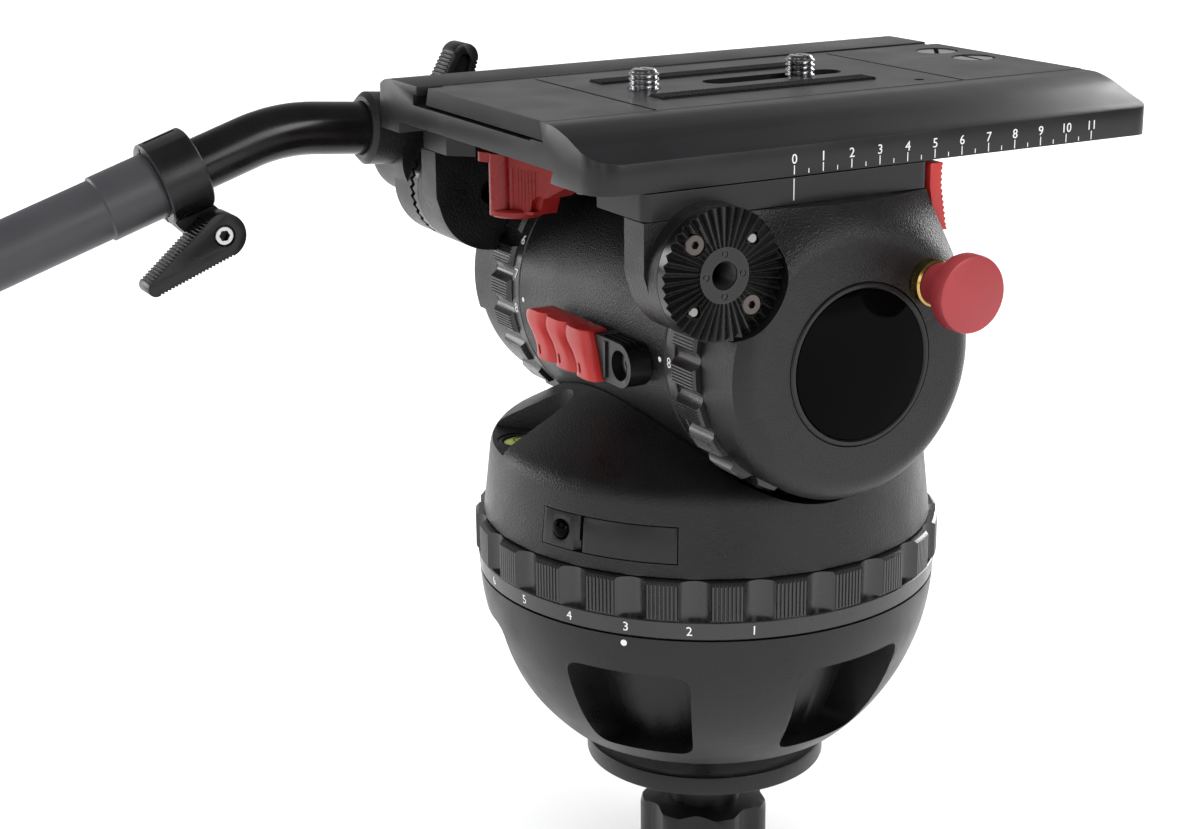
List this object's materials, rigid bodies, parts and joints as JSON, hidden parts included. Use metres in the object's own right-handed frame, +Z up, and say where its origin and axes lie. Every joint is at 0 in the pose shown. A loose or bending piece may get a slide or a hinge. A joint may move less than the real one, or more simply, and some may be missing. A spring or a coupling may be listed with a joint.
{
  "type": "fluid video head",
  "caption": "Fluid pan and tilt head on a half ball, with drag rings, sliding camera plate, release levers and a telescopic pan bar clamped to a toothed rosette.",
  "frame": {"origin": "centre of the 150 mm half ball, on the pan axis", "axes": "+X forward along the carrier's slide, +Y to the pan bar's side along the tilt axis, +Z up along the pan axis"},
  "size_m": [0.5077, 0.226, 0.2763],
  "materials": {
    "casting": "fine textured black powder coat",
    "anodised": "black anodised, satin",
    "ring": "moulded black, satin",
    "plastic": "moulded black",
    "rubber": "black rubber",
    "gloss": "domed clear coat over black",
    "red": "red, satin",
    "red_metal": "red anodised, satin",
    "brass": "plain brass",
    "steel": "bright plated steel",
    "dark_steel": "oiled steel",
    "vial": "tinted level vial"
  },
  "bodies": {
    "base": {"half_ball": "casting", "tie_down_stud": "steel", "pan_axle": "dark_steel", "pan_bearing": "dark_steel"},
    "pan_ring": {"pan_drag_ring": "ring"},
    "turret": {"pan_turret": "casting", "bubble_ring": "anodised", "bubble_vial": "vial", "light_switch_plate": "plastic", "tilt_drum": "casting", "tilt_bearing_far": "dark_steel", "tilt_bearing_near": "dark_steel", "counterbalance_spring": "dark_steel", "brake_screw": "dark_steel"},
    "button": {"light_button": "rubber"},
    "cover": {"battery_cover": "plastic"},
    "near_ring": {"near_drag_ring": "ring"},
    "far_ring": {"far_drag_ring": "ring"},
    "brake": {"brake_lever": "plastic", "brake_grip": "red"},
    "tilt_head": {"tilt_cheek_near": "casting", "tilt_cheek_far": "casting", "tilt_axle": "dark_steel", "platform": "anodised", "badge_rim_far": "plastic", "badge_dome_far": "gloss", "badge_rim_near": "plastic", "badge_dome_near": "gloss", "rosette_far": "anodised", "rosette_near": "anodised", "pull_bush": "brass", "slide_gib": "dark_steel", "front_lever_pin": "dark_steel"},
    "pull": {"pull_knob": "red_metal"},
    "slide_lock": {"front_lever": "red"},
    "carrier": {"plate_carrier": "anodised", "rear_lever_pin": "dark_steel"},
    "release": {"rear_lever": "red"},
    "clamp_bar": {"plate_clamp_bar": "anodised"},
    "plate": {"camera_plate": "anodised", "rubber_strip_near": "rubber", "rubber_strip_far": "rubber", "spare_screw_1": "steel", "spare_screw_2": "steel"},
    "rear_screw": {"camera_screw_rear": "steel"},
    "front_screw": {"camera_screw_front": "steel"},
    "bar": {"bar_rosette_clamp": "casting", "bar_tube": "anodised"},
    "bar_lock": {"bar_clamp_lever": "plastic"},
    "bar_outer": {"bar_sleeve": "anodised", "bar_collar": "plastic", "bar_grip": "rubber", "bar_end_cap": "plastic"},
    "collar_lock": {"collar_lever": "plastic"},
    "dish": {"clamp_dish": "casting"},
    "tie_knob": {"tie_down_knob": "plastic"}
  },
  "joints": [
    {"name": "pan", "type": "hinge", "parent": "base", "child": "turret", "pos_m": [0, 0, 0.0154], "axis": [0, 0, 1], "continuous": true},
    {"name": "pan_drag", "type": "hinge", "parent": "base", "child": "pan_ring", "pos_m": [0, 0, 0.006], "axis": [0, 0, 1], "range_deg": [-45, 60]},
    {"name": "tilt", "type": "hinge", "parent": "turret", "child": "tilt_head", "pos_m": [0, 0, 0.082], "axis": [0, 1, 0], "range_deg": [-50, 75]},
    {"name": "near_drag", "type": "hinge", "parent": "turret", "child": "near_ring", "pos_m": [0, -0.058, 0.082], "axis": [0, 1, 0], "range_deg": [-15, 105]},
    {"name": "far_drag", "type": "hinge", "parent": "turret", "child": "far_ring", "pos_m": [0, 0.058, 0.082], "axis": [0, 1, 0], "range_deg": [-15, 105]},
    {"name": "brake", "type": "hinge", "parent": "turret", "child": "brake", "pos_m": [-0.0475, -0.033, 0.077], "axis": [1, 0, 0], "range_deg": [-10, 30]},
    {"name": "light_push", "type": "slide", "parent": "turret", "child": "button", "axis": [0.9397, 0.342, 0], "range_m": [0, 0.0008], "stiffness_N_per_m": 400},
    {"name": "battery_pull", "type": "slide", "parent": "turret", "child": "cover", "axis": [-0.7771, -0.6293, 0], "range_m": [0, 0.012]},
    {"name": "pull_release", "type": "slide", "parent": "tilt_head", "child": "pull", "axis": [0, -1, 0], "range_m": [0, 0.004], "stiffness_N_per_m": 500},
    {"name": "slide_lock_turn", "type": "hinge", "parent": "tilt_head", "child": "slide_lock", "pos_m": [0.024, -0.05, 0.134], "axis": [0, 0, 1], "range_deg": [0, 30]},
    {"name": "carrier_slide", "type": "slide", "parent": "tilt_head", "child": "carrier", "axis": [1, 0, 0], "range_m": [-0.11, 0]},
    {"name": "release_turn", "type": "hinge", "parent": "carrier", "child": "release", "pos_m": [-0.05, -0.014, 0.131], "axis": [0, 0, 1], "range_deg": [0, 30]},
    {"name": "clamp_bar_slide", "type": "slide", "parent": "carrier", "child": "clamp_bar", "axis": [0, 1, 0], "range_m": [0, 0.0015]},
    {"name": "plate_slide", "type": "slide", "parent": "carrier", "child": "plate", "axis": [1, 0, 0], "range_m": [-0.09, 0]},
    {"name": "rear_screw_turn", "type": "hinge", "parent": "plate", "child": "rear_screw", "pos_m": [-0.023, 0, 0.153], "axis": [0, 0, 1], "continuous": true},
    {"name": "front_screw_slide", "type": "slide", "parent": "plate", "child": "front_screw", "axis": [1, 0, 0], "range_m": [-0.028, 0.009]},
    {"name": "bar_swing", "type": "hinge", "parent": "tilt_head", "child": "bar", "pos_m": [-0.0455, 0.084, 0.1137], "axis": [0, 1, 0], "range_deg": [-90, 90]},
    {"name": "bar_lock_turn", "type": "hinge", "parent": "bar", "child": "bar_lock", "pos_m": [-0.0455, 0.116, 0.1137], "axis": [0, 1, 0], "range_deg": [-90, 90]},
    {"name": "bar_extend", "type": "slide", "parent": "bar", "child": "bar_outer", "axis": [-0.9483, 0, -0.3173], "range_m": [0, 0.12]},
    {"name": "collar_lock_turn", "type": "hinge", "parent": "bar_outer", "child": "collar_lock", "pos_m": [-0.13104, 0.09, 0.10447], "axis": [0, 1, 0], "range_deg": [-90, 15]},
    {"name": "dish_rise", "type": "slide", "parent": "base", "child": "dish", "axis": [0, 0, 1], "range_m": [0, 0.008]},
    {"name": "tie_knob_turn", "type": "hinge", "parent": "dish", "child": "tie_knob", "pos_m": [0, 0, -0.1], "axis": [0, 0, 1], "range_deg": [0, 1645]}
  ],
  "couplings": [
    {"joint": "release_turn", "follows": "clamp_bar_slide", "rad_per_m": 349.06},
    {"joint": "tie_knob_turn", "follows": "dish_rise", "rad_per_m": 3588.8}
  ]
}
